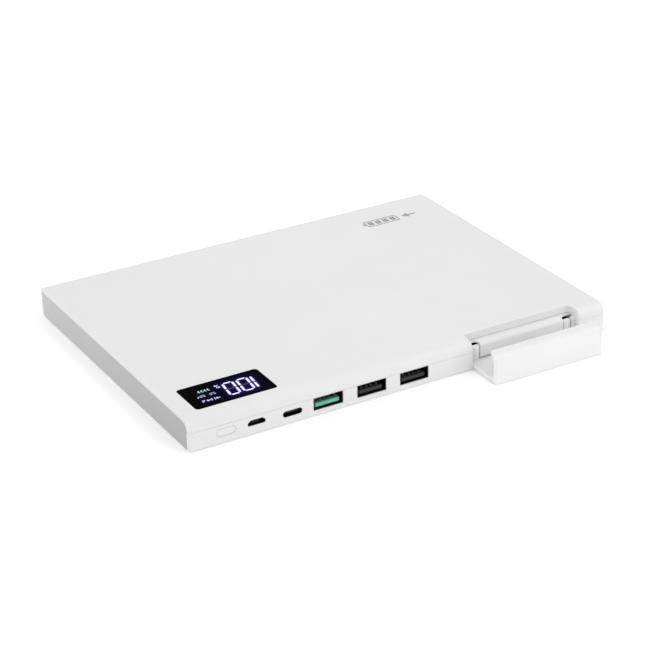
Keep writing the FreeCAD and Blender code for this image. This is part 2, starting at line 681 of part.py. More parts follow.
def hook_inner_fillet():
    """Concave strip where the wall stands on the plate."""
    radius = 0.8
    inside = HOOK_FRONT + HOOK_T
    top = PLATE_Z1 + radius
    back = inside + radius
    return bar_x(HOOK_X0 + 0.5, HOOK_X1 - 0.5, (inside - BITE, PLATE_Z1 - BITE),
                 (line, (inside - BITE, top)),
                 (line, (inside, top)),
                 (curve, (inside, PLATE_Z1 + 0.45 * radius),
                  (inside + 0.55 * radius, PLATE_Z1), (back, PLATE_Z1)),
                 (line, (back, PLATE_Z1 - BITE)),
                 (line, (inside - BITE, PLATE_Z1 - BITE)))


def hook_post(x):
    """Post on the plate with a curved front."""
    half = POST_W / 2
    side_y = POST_Y0 + 1.15
    post = bar_z(PLATE_Z1 - 0.1, POST_TOP, (x - half, side_y),
                 (curve, (x - half, POST_Y0 + 0.2), (x - half * 0.62, POST_Y0), (x, POST_Y0)),
                 (curve, (x + half * 0.62, POST_Y0), (x + half, POST_Y0 + 0.2),
                  (x + half, side_y)),
                 (line, (x + half, POST_Y1)),
                 (line, (x - half, POST_Y1)),
                 (line, (x - half, side_y)))
    top_edges = [e for e in post.Edges if abs(e.BoundBox.ZMin - POST_TOP) < 1e-3]
    try:
        return post.makeFillet(0.45, top_edges)
    except Exception:  # the kernel can refuse the fillet: the post stays sharp
        return post


def hook():
    body = hook_wall().fuse(hook_plate()).fuse(hook_inner_fillet())
    for x in POST_X:
        arm = mid_box(x, ARM_W, POST_Y1 - 0.5, PLATE_REAR, PLATE_Z1 - 0.1, ARM_TOP)
        body = body.fuse(hook_post(x)).fuse(arm)
    body = body.removeSplitter()
    # screw seats at the rear of the arms
    seat_z = PLATE_Z1 - BITE
    for x in POST_X:
        body = body.fuse(cylinder(x, BAR_Y, seat_z, 1.75, ARM_TOP - seat_z))
    for x in POST_X:
        body = body.cut(cylinder(x, BAR_Y, PLATE_Z1 + 0.4, 0.65, 10))
    return body.removeSplitter()


def slider_bar():
    """Bar that ties the hook's two arms."""
    tie = rounded_z(BAY_X0 + 1.0, BAY_X1 - 1.0, BAR_Y0, BAR_Y1, 0.8, BAR_Z0, BAR_Z1)
    for x in POST_X:
        tie = tie.cut(cylinder(x, BAR_Y, 0, 0.9, 20))
    return tie


def slider_screw(x):
    """Screw with a single slot."""
    head = cylinder(x, BAR_Y, BAR_Z1 + AIR, 1.6, 0.7)
    screw = head.fuse(cylinder(x, BAR_Y, PLATE_Z1 + 0.6, 0.6, BAR_Z1 - PLATE_Z1 - 0.5))
    screw = screw.cut(mid_box(x, 2.0, BAR_Y - 0.15, BAR_Y + 0.15, BAR_Z1 + 0.36, BAR_Z1 + 2))
    return screw.removeSplitter()


def slide_guide(*legs):
    """Guide on the channel's roof: a leg on each side of an arm, given as X
    ranges, a front stop on each leg and a web across the back."""
    low, rail_top = CHANNEL_ROOF + AIR, ARM_TOP - 0.08
    stop_low, stop_top = ARM_TOP - 0.1, ARM_TOP + 1.3
    rails = [box(x0, x1, FRONT + 7.0, CHANNEL_BACK - 0.5, low, rail_top) for x0, x1 in legs]
    stops = [box(x0, x1, FRONT + 9.6, BAR_Y0 - 0.1, stop_low, stop_top) for x0, x1 in legs]
    web = box(min(leg[0] for leg in legs), max(leg[1] for leg in legs),
              PLATE_REAR + HOOK_TRAVEL + 0.25, CHANNEL_BACK + 1.2, low, stop_top)
    guide = rails[0]
    for part in rails[1:] + stops + [web]:
        guide = guide.fuse(part)
    return guide.removeSplitter()


# Battery
def battery_cell(x0, x1):
    cell = box(x0, x1, CELL_Y0, CELL_Y1, CELL_Z0, CELL_Z1)
    cell = cell.makeFillet(1.6, [e for e in cell.Edges if e.BoundBox.ZLength > 5])
    return cell.makeFillet(0.9, [e for e in cell.Edges if abs(e.BoundBox.ZLength) < 1e-3])


def cell_layer(inset_x, inset_y, z0, z1):
    """One flat sheet over each cell's area."""
    return [box(x0 + inset_x, x1 - inset_x, CELL_Y0 + inset_y, CELL_Y1 - inset_y, z0, z1)
            for x0, x1 in CELL_X]


def cell_tabs():
    """Two tabs at the front of each cell."""
    return [mid_box(x, 6.0, CELL_Y0 - 1.4, CELL_Y0 - AIR, 6.9, 7.05)
            for x0, x1 in CELL_X for x in (x0 + 14, x1 - 14)]


def battery_lead(x):
    """Round lead from the protection board to the top of the main board."""
    radius = 0.8
    board_y = BOARD_Y1 - 1.4
    points = [Vector(x, PROTECTION_Y0 - 0.05, 8.6), Vector(x, CELL_Y0 - 5.5, 8.6),
              Vector(x, board_y, 10.6), Vector(x, board_y, BOARD_TOP + AIR)]
    runs = [Part.makeCylinder(radius, (end - start).Length, start, end - start)
            for start, end in zip(points, points[1:])]
    bends = [Part.makeSphere(radius, point) for point in points[1:-1]]
    lead = runs[0]
    for part in runs[1:] + bends:
        lead = lead.fuse(part)
    return lead.removeSplitter()


def temperature_sensor():
    """Bead in front of the middle cell, with two wires along +X."""
    y, z = CELL_Y0 - 0.78, 5.1
    sensor = Part.makeSphere(0.7, Vector(21.0, y, z))
    for offset in (-0.3, 0.3):
        sensor = sensor.fuse(cylinder(21.3, y, z + offset, 0.2, 6.0, Vector(1, 0, 0)))
    return sensor.removeSplitter()


# Parts hanging under the main board
def power_inductor(x):
    y, half = FRONT + 20.5, 3.6
    body = box(x - half, x + half, y - half, y + half, BOARD_LOW - 4.4, UNDER_BOARD)
    return body.makeFillet(0.8, [e for e in body.Edges if e.BoundBox.ZLength > 3])


def board_capacitor(x, y, radius, drop):
    return cylinder(x, y, BOARD_LOW - drop, radius, drop - AIR)


# Build and save every piece
outer_blank = case_section(0.0).common(case_plan(0.0)).common(case_side())
cavity_blank = case_section(WALL, 0.01)
panel_rebates = panel_blanks(PANEL_IN, PANEL_T + PANEL_GAP)
save("top_cover", top_cover(outer_blank, cavity_blank, panel_rebates))
save("bottom_cover", bottom_cover(outer_blank, cavity_blank, panel_rebates))
left_blank, right_blank = panel_blanks(PANEL_IN + PANEL_GAP, PANEL_T)
save("end_panel_left", end_panel(left_blank, -1))
save("end_panel_right", end_panel(right_blank, 1))

save("display_window", display_bar(0.0, DISPLAY_R, WINDOW_Z0, WINDOW_Z1))
save("display_module", display_bar(1.6, 0.8, BOARD_TOP + 0.03, WINDOW_Z0 - 0.05))
save("main_board", main_board())
save("board_screws", [board_screw(x, y) for x, y in BOSSES])

for number, socket_x in enumerate(USB_A_X, 1):
    save("usb_a_shell_%d" % number, usb_a_shell(socket_x))
    save("usb_a_tongue_%d" % number, usb_a_tongue(socket_x))
    save("usb_a_contacts_%d" % number, [usb_a_contact(socket_x + x) for x in USB_A_CONTACT_X])
save("usb_c_shell", small_shell(stadium_y, USB_C_X, USB_C_Z, USB_C_W, USB_C_H, USB_C_SHEET,
                                USB_C_FRONT, USB_C_BACK, leg_x=3.1, leg_y=(2.2, 5.6)))
save("usb_c_tongue", usb_c_tongue())
save("usb_c_contacts", usb_c_contacts())
save("micro_usb_shell", small_shell(micro_y, MICRO_X, MICRO_Z, MICRO_W, MICRO_H, MICRO_SHEET,
                                    MICRO_FRONT, MICRO_BACK, leg_x=2.0, leg_y=(1.8, 4.0)))
save("micro_usb_tongue", micro_usb_tongue())
save("power_button", power_button())
save("switch_body", switch_body())
save("switch_plunger", cylinder(BUTTON_X, SWITCH_TIP, BUTTON_Z, 0.90, 2.4, BACKWARD))

save("hook", hook())
save("slider_bar", slider_bar())
save("slider_screws", [slider_screw(x) for x in POST_X])
save("slide_guide_left", slide_guide((POST_X[0] + 2.1, POST_X[0] + 6.0),
                                     (BAY_X0 + 0.1, POST_X[0] - 2.1)))
save("slide_guide_right", slide_guide((POST_X[1] - 6.0, POST_X[1] - 2.1),
                                      (POST_X[1] + 2.1, BAY_X1 - 0.1)))

for place_name, cell_range in zip(("left", "middle", "right"), CELL_X):
    save("battery_cell_" + place_name, battery_cell(*cell_range))
save("cell_tabs", cell_tabs())
save("foam_pads", cell_layer(2, 3, CELL_Z1 + PAD_GAP, CEILING - 0.05))
save("cell_tapes", cell_layer(5, 5, WALL + PAD_GAP, CELL_Z0 - PAD_GAP))
save("protection_board", box(-84, 83, PROTECTION_Y0, PROTECTION_Y1, 6.0, 11.2))
save("protection_transistors", [mid_box(x, 5.0, CELL_Y0 - 3.5, PROTECTION_Y0 - AIR, 7.2, 10.6)
                                for x in (-12.0, -5.0, 2.0)])
save("battery_leads", [battery_lead(x) for x in (12.0, 15.0)])
save("temperature_sensor", temperature_sensor())

save("power_inductors", [power_inductor(x) for x in (-25.0, -14.5)])
save("control_chip", box(-36.5, -30.5, FRONT + 17.5, FRONT + 23.5,
                         BOARD_LOW - 0.95, UNDER_BOARD))
save("power_transistors", [mid_box(x, 5.0, FRONT + 15.4, FRONT + 21.4,
                                   BOARD_LOW - 1.1, UNDER_BOARD) for x in (-3.0, 3.5, 10.0)])
save("board_capacitors", [board_capacitor(15.5, FRONT + 8.0, radius=2.9, drop=6.2),
                          board_capacitor(16.5, FRONT + 18.0, radius=2.4, drop=5.2)])
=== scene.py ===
"""A power bank lying flat on the floor (z = 0) with its display facing up (+Z).

The display and the printed mark are both drawn in millimetres as (u, v) from a centre:
u runs to the reader's right, along -X, and v runs up the figures, along -Y.
"""
import bpy, bmesh, math
import numpy as np
from fnmatch import fnmatchcase
from mathutils import Matrix, Vector

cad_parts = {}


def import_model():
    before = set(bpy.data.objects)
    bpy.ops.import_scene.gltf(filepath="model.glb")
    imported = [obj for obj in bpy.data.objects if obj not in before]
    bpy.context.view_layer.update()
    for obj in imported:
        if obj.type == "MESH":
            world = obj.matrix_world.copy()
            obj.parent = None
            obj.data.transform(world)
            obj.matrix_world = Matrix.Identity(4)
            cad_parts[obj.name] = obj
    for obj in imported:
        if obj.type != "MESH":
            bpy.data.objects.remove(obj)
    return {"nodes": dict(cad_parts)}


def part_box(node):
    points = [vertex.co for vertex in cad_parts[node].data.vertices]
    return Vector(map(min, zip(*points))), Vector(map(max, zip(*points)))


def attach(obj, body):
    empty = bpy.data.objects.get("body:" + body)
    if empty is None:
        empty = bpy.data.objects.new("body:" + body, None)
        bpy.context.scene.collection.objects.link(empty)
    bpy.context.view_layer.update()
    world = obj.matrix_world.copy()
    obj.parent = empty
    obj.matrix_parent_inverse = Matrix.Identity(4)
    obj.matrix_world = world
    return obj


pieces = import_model()["nodes"]
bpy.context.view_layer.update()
MM = 0.001


# ------------------------------------------------------------ node helpers
class Nodes:
    """A short way to write a node tree. Any value may be another node's output socket."""

    def __init__(self, tree):
        self.tree = tree
        self.next_x = 0

    def new(self, kind, inputs=None, **settings):
        node = self.tree.nodes.new("ShaderNode" + kind)
        node.location = (self.next_x, 0)
        self.next_x += 40
        for key, value in settings.items():
            setattr(node, key, value)
        self.fill(node, inputs or {})
        return node

    def fill(self, node, inputs):
        for key, value in inputs.items():
            if isinstance(value, bpy.types.NodeSocket):
                self.tree.links.new(value, node.inputs[key])
            else:
                node.inputs[key].default_value = value

    def math(self, operation, a, b):
        return self.new("Math", {0: a, 1: b}, operation=operation).outputs[0]

    def plus(self, a, b):
        return self.math("ADD", a, b)

    def times(self, a, b):
        return self.math("MULTIPLY", a, b)

    def mix(self, factor, a, b, blend="MIX"):
        inputs = {"Factor": factor, 6: a, 7: b}
        return self.new("Mix", inputs, data_type="RGBA", blend_type=blend).outputs[2]

    def ramp(self, value, to=(0.0, 1.0), over=(0.3, 0.7)):
        """Map a range onto another; 0.3 to 0.7 is where most of a noise's values lie."""
        return self.new("MapRange", dict(enumerate((value, *over, *to)))).outputs[0]

    def noise(self, coords, scale, detail=3.0, rough=0.5):
        inputs = {"Vector": coords, "Scale": scale, "Detail": detail, "Roughness": rough}
        return self.new("TexNoise", inputs).outputs["Fac"]

    def stretch(self, coords, scale):
        return self.new("Mapping", {"Vector": coords, "Scale": scale}).outputs[0]

    def dot(self, a, b):
        return self.new("VectorMath", {0: a, 1: b}, operation="DOT_PRODUCT").outputs["Value"]

    def bevel(self, radius):
        return self.new("Bevel", {"Radius": radius}, samples=4).outputs[0]

    def bump(self, height, depth, strength, normal=None):
        inputs = {"Strength": strength, "Distance": depth, "Height": height}
        if normal is not None:
            inputs["Normal"] = normal
        return self.new("Bump", inputs).outputs[0]


def new_material(name):
    material = bpy.data.materials.new(name)
    material.use_nodes = True
    material.node_tree.nodes.clear()
    nodes = Nodes(material.node_tree)
    output = nodes.new("OutputMaterial")
    bsdf = nodes.new("BsdfPrincipled")
    nodes.fill(output, {0: bsdf.outputs[0]})
    coords = nodes.new("TexCoord").outputs["Object"]
    return material, nodes, bsdf, coords


def shade(rgb, factor):
    return (*(min(channel * factor, 1) for channel in rgb), 1)


# --------------------------------------------------------------- materials
TONE_CHANGE = 0.018      # how much darker a moulding's darkest patches are


def plastic(name, rgb, rough, grain=3200.0, grain_depth=0.000006, specular=0.5,
            edge=0.10, edge_radius=0.00025, painted_shade_along_y=None):
    """Moulded plastic: eroded grain, slow changes of tone and gloss, edges made smoother by wear
    and painted lighter as an edge highlight.
    """
    material, nodes, bsdf, coords = new_material(name)
    slow = nodes.noise(coords, scale=22.0, rough=0.55)
    mid = nodes.noise(coords, scale=160.0, detail=4.0, rough=0.6)
    fine = nodes.noise(coords, scale=grain, detail=2.0, rough=0.6)
    # pits a little under twice as wide as the grain
    pits = nodes.new("TexVoronoi", {"Vector": coords, "Scale": grain * 0.55}, feature="F1")
    # tone: mostly the slow noise
    tone = nodes.plus(nodes.times(slow, 0.65), nodes.times(mid, 0.35))
    color = nodes.mix(nodes.ramp(tone), shade(rgb, 1 - TONE_CHANGE),
                      shade(rgb, 1 + TONE_CHANGE * 0.6))
    # the bevel normal leaves the true normal only near an edge
    bevel = nodes.bevel(edge_radius)
    agreement = nodes.dot(bevel, nodes.new("NewGeometry").outputs["Normal"])
    edge_wear_and_highlight = nodes.ramp(agreement, over=(0.995, 0.85))
    edge_wear_and_highlight = nodes.times(edge_wear_and_highlight, nodes.ramp(mid, over=(0.35, 0.65), to=(0.35, 1.0)))
    # painted highlight: the colour is lightened near every edge, by the amount edge gives
    color = nodes.mix(nodes.times(edge_wear_and_highlight, edge), color, shade(rgb, 1.08))
    if painted_shade_along_y:
        # painted shade: the colour is darker towards -Y and lighter towards +Y, as the light
        # from the back-left falls on the piece
        along = nodes.new("SeparateXYZ", {0: coords}).outputs[1]
        level = nodes.ramp(along, **painted_shade_along_y)
        painted_shade_factor = nodes.new("CombineXYZ", {0: level, 1: level, 2: level})
        color = nodes.mix(1.0, color, painted_shade_factor.outputs[0], blend="MULTIPLY")
    gloss = nodes.ramp(fine, to=(rough - 0.05, rough + 0.05))
    gloss = nodes.plus(gloss, nodes.ramp(mid, to=(-0.035, 0.035)))
    # worn edges are smoother
    gloss = nodes.math("SUBTRACT", gloss, nodes.times(edge_wear_and_highlight, 0.08))
    # relief: mostly grain, partly pits, over slow waves
    relief = nodes.plus(nodes.times(fine, 0.7), nodes.times(pits.outputs["Distance"], 0.3))
    grained = nodes.bump(relief, depth=grain_depth, strength=0.6, normal=bevel)
    nodes.fill(bsdf, {
        "Base Color": color, "Roughness": gloss, "Specular IOR Level": specular,
        "Normal": nodes.bump(slow, depth=0.00002, strength=0.25, normal=grained)})
    return material


def metal(name, rgb, rough, brush=(1, 1, 1)):
    """Brushed metal with darker, duller blotches; brush scales the noise along each axis."""
    material, nodes, bsdf, coords = new_material(name)
    lines = nodes.noise(nodes.stretch(coords, brush), scale=900.0, detail=4.0, rough=0.65)
    blots = nodes.noise(coords, scale=240.0, detail=4.0, rough=0.6)
    dulling = nodes.ramp(blots, over=(0.3, 0.75))
    nodes.fill(bsdf, {
        "Base Color": nodes.mix(dulling, shade(rgb, 1.0), shade(rgb, 0.75)),
        "Metallic": 1.0,
        "Roughness": nodes.plus(nodes.ramp(lines, to=(rough - 0.08, rough + 0.08)),
                                nodes.ramp(blots, to=(0.0, 0.09))),
        "Normal": nodes.bump(lines, depth=0.000006, strength=0.5)})
    return material


def board_mask(name):
    """Solder mask with lighter copper tracks showing through, and a few tinned pads."""
    material, nodes, bsdf, coords = new_material(name)
    tracks = nodes.new("TexBrick", {
        "Vector": coords, "Scale": 260.0, "Mortar Size": 0.045,
        "Color1": (0.012, 0.10, 0.045, 1), "Color2": (0.010, 0.08, 0.038, 1),
        "Mortar": (0.03, 0.20, 0.09, 1)}, offset=0.37)
    cells = nodes.new("TexVoronoi", {"Vector": coords, "Scale": 420.0},
                      feature="F1", distance="CHEBYCHEV")
    pads = nodes.ramp(cells.outputs["Distance"], over=(0.16, 0.18), to=(1.0, 0.0))
    nodes.fill(bsdf, {
        "Base Color": nodes.mix(pads, tracks.outputs["Color"], (0.62, 0.60, 0.55, 1)),
        "Metallic": nodes.times(pads, 0.9),
        "Roughness": nodes.ramp(nodes.noise(coords, scale=900.0), to=(0.25, 0.42)),
        "Normal": nodes.bump(nodes.plus(tracks.outputs["Fac"], pads),
                             depth=0.00003, strength=0.5)})
    return material


def pouch_foil(name):
    """Laminated pouch foil, faintly crumpled, with painted shade in the fold hollows and painted
    highlight on the crests.
    """
    material, nodes, bsdf, coords = new_material(name)
    folds = nodes.noise(nodes.stretch(coords, (1, 0.35, 1)), scale=90.0, detail=6.0, rough=0.6)
    fine = nodes.noise(coords, scale=1400.0, rough=0.6)
    grained = nodes.bump(fine, depth=0.00001, strength=0.4)
    nodes.fill(bsdf, {
        # painted shade and highlight: the colour is darker in the fold hollows and lighter on
        # the crests
        "Base Color": nodes.mix(nodes.ramp(folds), (0.60, 0.61, 0.63, 1), (0.74, 0.75, 0.77, 1)),
        "Metallic": 0.85,
        "Roughness": nodes.ramp(fine, to=(0.28, 0.42)),
        "Normal": nodes.bump(folds, depth=0.0004, strength=0.35, normal=grained)})
    return material


def black_foam(name):
    """Open foam: paler walls, with painted shade darkening the inside of the cells."""
    material, nodes, bsdf, coords = new_material(name)
    walls = nodes.new("TexVoronoi", {"Vector": coords, "Scale": 1600.0},
                      feature="DISTANCE_TO_EDGE")
    # painted shade: the deeper into a cell, the darker the colour
    depth = nodes.ramp(walls.outputs[0], over=(0.0, 0.25))
    nodes.fill(bsdf, {
        "Base Color": nodes.mix(depth, (0.05, 0.05, 0.055, 1), (0.012, 0.012, 0.013, 1)),
        "Roughness": 0.95,
        "Normal": nodes.bump(depth, depth=0.00008, strength=0.8)})
    return material


def smoke_acrylic(nodes, bsdf, coords):
    """Nearly black polished acrylic; returns the wiping marks that vary its gloss."""
    wipes = nodes.noise(nodes.stretch(coords, (1.0, 6.0, 1.0)), scale=700.0,
                        detail=4.0, rough=0.65)
    smears = nodes.noise(coords, scale=70.0)
    nodes.fill(bsdf, {
        "Base Color": nodes.mix(nodes.ramp(smears), (0.0010, 0.0010, 0.0014, 1),
                                (0.0022, 0.0020, 0.0028, 1)),
        "Roughness": nodes.plus(nodes.ramp(wipes, over=(0.35, 0.75), to=(0.05, 0.13)),
                                nodes.ramp(smears, over=(0.4, 0.8), to=(0.0, 0.05))),
        "Specular IOR Level": 0.002})
    return wipes


def window_acrylic(name):
    material, nodes, bsdf, coords = new_material(name)
    wipes = smoke_acrylic(nodes, bsdf, coords)
    nodes.fill(bsdf, {"Normal": nodes.bump(wipes, depth=0.000002, strength=0.3)})
    return material


def lit_segment(name, rgb, strength):
    """A glowing figure, very slightly speckled."""
    material, nodes, bsdf, coords = new_material(name)
    dots = nodes.noise(coords, scale=5200.0, detail=2.0)
    nodes.fill(bsdf, {
        "Base Color": (0.02, 0.02, 0.03, 1),
        "Roughness": 0.4,
        "Specular IOR Level": 0.03,
        "Emission Color": (*rgb, 1),
        "Emission Strength": nodes.ramp(dots, over=(0.25, 0.75),
                                        to=(strength * 0.94, strength * 1.04))})
    return material


def glow_acrylic(name):
    """The window's acrylic, lit by the two glow attributes of the mesh."""
    material, nodes, bsdf, coords = new_material(name)
    blue = nodes.new("Attribute", attribute_name="glow").outputs["Fac"]
    green = nodes.new("Attribute", attribute_name="glow_green").outputs["Fac"]
    dots = nodes.noise(coords, scale=2600.0, detail=2.0)
    smoke_acrylic(nodes, bsdf, coords)
    speckle = nodes.ramp(dots, to=(0.9, 1.1))
    blue = nodes.times(blue, speckle)
    green = nodes.times(green, speckle)
    # the small term keeps the division safe where nothing glows
    either = nodes.plus(nodes.plus(blue, green), 0.0001)
    nodes.fill(bsdf, {
        "Emission Color": nodes.mix(nodes.math("DIVIDE", green, either),
                                    (0.075, 0.045, 0.75, 1), (0.02, 0.55, 0.22, 1)),
        "Emission Strength": nodes.plus(blue, green)})
    return material


def green_tongue(name):
    """Green tongue, paler where the light from the floor reaches its lower edge."""
    material, nodes, bsdf, coords = new_material(name)
    position = nodes.new("NewGeometry").outputs["Position"]
    height = nodes.new("SeparateXYZ", {0: position}).outputs[2]
    height = nodes.ramp(height, over=(0.0044, 0.0062))
    fine = nodes.noise(coords, scale=1500.0, rough=0.6)
    height = nodes.plus(height, nodes.ramp(fine, to=(-0.06, 0.06)))
    colors = nodes.new("ValToRGB", {0: height})
    low, high = colors.color_ramp.elements
    low.position, low.color = 0.0, (0.15, 0.53, 0.35, 1)
    high.position, high.color = 1.0, (0.075, 0.40, 0.26, 1)
    nodes.fill(bsdf, {
        "Base Color": colors.outputs[0],
        "Roughness": nodes.ramp(fine, to=(0.36, 0.5)),
        "Specular IOR Level": 0.4,
        "Normal": nodes.bump(fine, depth=0.000006, strength=0.5, normal=nodes.bevel(0.0002))})
    return material


def print_ink(name):
    material, nodes, bsdf, coords = new_material(name)
    fine = nodes.noise(coords, scale=1500.0, detail=4.0, rough=0.6)
    nodes.fill(bsdf, {
        "Base Color": nodes.mix(nodes.ramp(fine), (0.30, 0.30, 0.31, 1), (0.36, 0.36, 0.37, 1)),
        "Roughness": nodes.ramp(fine, to=(0.45, 0.6)),
        "Normal": nodes.bump(fine, depth=0.000004, strength=0.4)})
    return material


SMOOTH = {"grain": 3600.0, "grain_depth": 0.000004}      # finer, shallower grain
MATERIALS = {
    "case": plastic("case_plastic", (0.788, 0.786, 0.788), rough=0.42),
    # the end panel carries painted shade, darker towards its -Y end
    "panel": plastic("panel_plastic", (0.470, 0.469, 0.470), rough=0.46, grain=2800.0,
                     painted_shade_along_y={"over": (-0.073, 0.073), "to": (0.86, 1.10)}),
    "hook": plastic("hook_plastic", (0.816, 0.816, 0.816), rough=0.34, **SMOOTH),
    "button": plastic("button_plastic", (0.79, 0.79, 0.788), rough=0.36, **SMOOTH),
    "window": window_acrylic("window_acrylic"),
    "black": plastic("black_plastic", (0.012, 0.012, 0.013), rough=0.45, specular=0.35,
                     edge=0.25),
    "black_tongue": plastic("tongue_black", (0.030, 0.030, 0.032), rough=0.50, specular=0.35,
                            edge=0.3, edge_radius=0.0002),
    "green_tongue": green_tongue("tongue_green"),
    "shell": metal("socket_steel", (0.045, 0.046, 0.050), rough=0.42, brush=(1, 8, 1)),
    "steel": metal("bar_steel", (0.55, 0.56, 0.58), rough=0.30, brush=(0.1, 1, 1)),
    "screw": metal("screw_zinc", (0.42, 0.42, 0.45), rough=0.35),
    "gold": metal("contact_gold", (0.86, 0.84, 0.80), rough=0.24),
    "nickel": metal("nickel_strip", (0.66, 0.63, 0.57), rough=0.32, brush=(1, 1, 6)),
    "board": board_mask("board_mask"),
    "foil": pouch_foil("cell_foil"),
    "foam": black_foam("foam"),
    "tape": plastic("tape", (0.75, 0.68, 0.35), rough=0.55),
    "ferrite": plastic("ferrite", (0.07, 0.07, 0.075), rough=0.7, grain=1600.0,
                       grain_depth=0.00002),
    "chip": plastic("chip_epoxy", (0.018, 0.018, 0.019), rough=0.5),
    "can": metal("capacitor_can", (0.55, 0.56, 0.60), rough=0.28, brush=(1, 1, 0.2)),
    "lead": plastic("lead_silicone", (0.55, 0.03, 0.02), rough=0.38),
    "display": plastic("display_block", (0.01, 0.01, 0.012), rough=0.3),
}

# piece name patterns and the material each takes; the first match counts
FINISHES = [
    ("top_cover", "case"), ("bottom_cover", "case"), ("end_panel*", "panel"),
    ("hook", "hook"), ("power_button", "button"),
    ("display_window", "window"), ("display_module", "display"),
    ("*contacts", "gold"), ("*contacts_*", "gold"),
    ("usb_a_tongue_1", "green_tongue"), ("*tongue*", "black_tongue"), ("*shell*", "shell"),
    ("main_board", "board"), ("protection_board", "board"),
    ("*screws*", "screw"), ("slider_bar", "steel"),
    ("battery_cell*", "foil"), ("cell_tabs", "nickel"),
    ("foam_pads", "foam"), ("cell_tapes", "tape"),
    ("power_inductors", "ferrite"), ("board_capacitors", "can"), ("battery_leads", "lead"),
    ("switch_body", "black"), ("switch_plunger", "black"),
    ("slide_guide_left", "black"), ("slide_guide_right", "black"),
    ("*", "chip"),
]


def paint(piece_name):
    finish = next(key for pattern, key in FINISHES if fnmatchcase(piece_name, pattern))
    mesh = pieces[piece_name].data
    mesh.materials.clear()
    mesh.materials.append(MATERIALS[finish])
    for face in mesh.polygons:
        face.material_index = 0


for piece_name in pieces:
    paint(piece_name)


# ------------------------------------------------------------ flat artwork
def placed(centre, polygons):
    """Turn (u, v) polygons in mm into (x, y) polygons in metres about a centre."""
    return [[(centre[0] - u * MM, centre[1] - v * MM) for u, v in poly] for poly in polygons]


def add_to_case(name, mesh, material):
    thing = bpy.data.objects.new(name, mesh)
    bpy.context.scene.collection.objects.link(thing)
    mesh.materials.append(material)
    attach(thing, "case")


def close_mesh(name, bm):
    bmesh.ops.recalc_face_normals(bm, faces=bm.faces)
    mesh = bpy.data.meshes.new(name)
    bm.to_mesh(mesh)
    bm.free()
    return mesh


def ring_of(bm, points, z):
    return [bm.verts.new((x, y, z)) for x, y in points]


def left_normal(edge):
    return np.array([-edge[1], edge[0]]) / (np.linalg.norm(edge) + 1e-12)


def inset_corner(before, corner, after, inset):
    """Move a corner of an anticlockwise polygon inwards, less far where it is sharp."""
    inward = left_normal(corner - before) + left_normal(after - corner)
    inward = inward / max(np.dot(inward, inward) / 2, 0.35)
    return corner + inward * inset


def slab(name, polygons, bottom, top, material, slot, inset=0.0):
    """Thin raised shapes: upright for 0.6 of their height, then sloping in to the top."""
    bm = bmesh.new()
    for points in polygons:
        count = len(points)
        area = 0.5 * sum(x * points[(i + 1) % count][1] - points[(i + 1) % count][0] * y
                         for i, (x, y) in enumerate(points))
        if area <= 0:
            points = points[::-1]
        corners = np.array(points)
        crown = [inset_corner(corners[i - 1], corners[i], corners[(i + 1) % count], inset)
                 for i in range(count)]
        base = ring_of(bm, points, bottom)
        wall = ring_of(bm, points, bottom + (top - bottom) * 0.6)
        rim = ring_of(bm, crown, top)
        bm.faces.new(base[::-1])
        bm.faces.new(rim)
        for i in range(count):
            j = (i + 1) % count
            bm.faces.new((base[i], base[j], wall[j], wall[i]))
            bm.faces.new((wall[i], wall[j], rim[j], rim[i]))
    add_to_case(name, close_mesh(name, bm), material)


def outline_slab(name, outer, inner, bottom, top, material, slot):
    """A flat closed band between two outlines with equal numbers of points."""
    bm = bmesh.new()
    sections = ((outer, bottom), (outer, top), (inner, top), (inner, bottom))
    rings = [ring_of(bm, points, z) for points, z in sections]
    for k in range(4):
        a, b = rings[k], rings[(k + 1) % 4]
        for i in range(len(outer)):
            j = (i + 1) % len(outer)
            bm.faces.new((a[i], a[j], b[j], b[i]))
    add_to_case(name, close_mesh(name, bm), material)


def box(left, right, low, high):
    return [(left, low), (right, low), (right, high), (left, high)]


def rounded_box(centre_u, width, height, radius, steps):
    """A box with round corners, centred on v = 0."""
    points = []
    for side_u, side_v, start in ((1, 1, 0), (-1, 1, 90), (-1, -1, 180), (1, -1, 270)):
        for i in range(steps + 1):
            angle = math.radians(start + 90 * i / steps)
            points.append((
                centre_u + side_u * (width / 2 - radius) + radius * math.cos(angle),
                side_v * (height / 2 - radius) + radius * math.sin(angle)))
    return points


# ------------------------------------------------- display figures, in mm
SLANT = 0.11           # the figures lean: shift in u for each mm of v
BIG_V = 0.30           # middle of the big figures
BIG_SIZE = {"width": 4.35, "height": 10.0, "stroke": 0.95}
BIG_FIGURES = ((-14.42, "1"), (-8.19, "0"), (-1.86, "0"))      # centre u, figure
PERCENT_V = -3.8       # level about which the percent sign leans
ARROW_V = 4.6          # upper row of symbols
ARROW_LENGTH = 2.4
READING_V = 0.40       # row of small figures
READING_SIZE = {"width": 0.72, "height": 1.36, "stroke": 0.27}
READING_PITCH = 1.55
MARK_PITCH = 1.38      # green chevrons
# a top, b and c right, d bottom, e and f left, g middle
SEGMENTS = {"0": "abcdef", "1": "bc", "3": "abgcd", "5": "afgcd"}


def level_bar(start, end, v, width, gap):
    """Level segment with pointed ends, each a gap short of its end."""
    half = width / 2
    return [(start + gap, v), (start + gap + half, v + half), (end - gap - half, v + half),
            (end - gap, v), (end - gap - half, v - half), (start + gap + half, v - half)]


def upright_bar(u, start, end, width, gap):
    return [(p, q) for q, p in level_bar(start, end, u, width, gap)]


def lean(polygons, middle_v):
    return [[(u + SLANT * (v - middle_v), v) for u, v in poly] for poly in polygons]


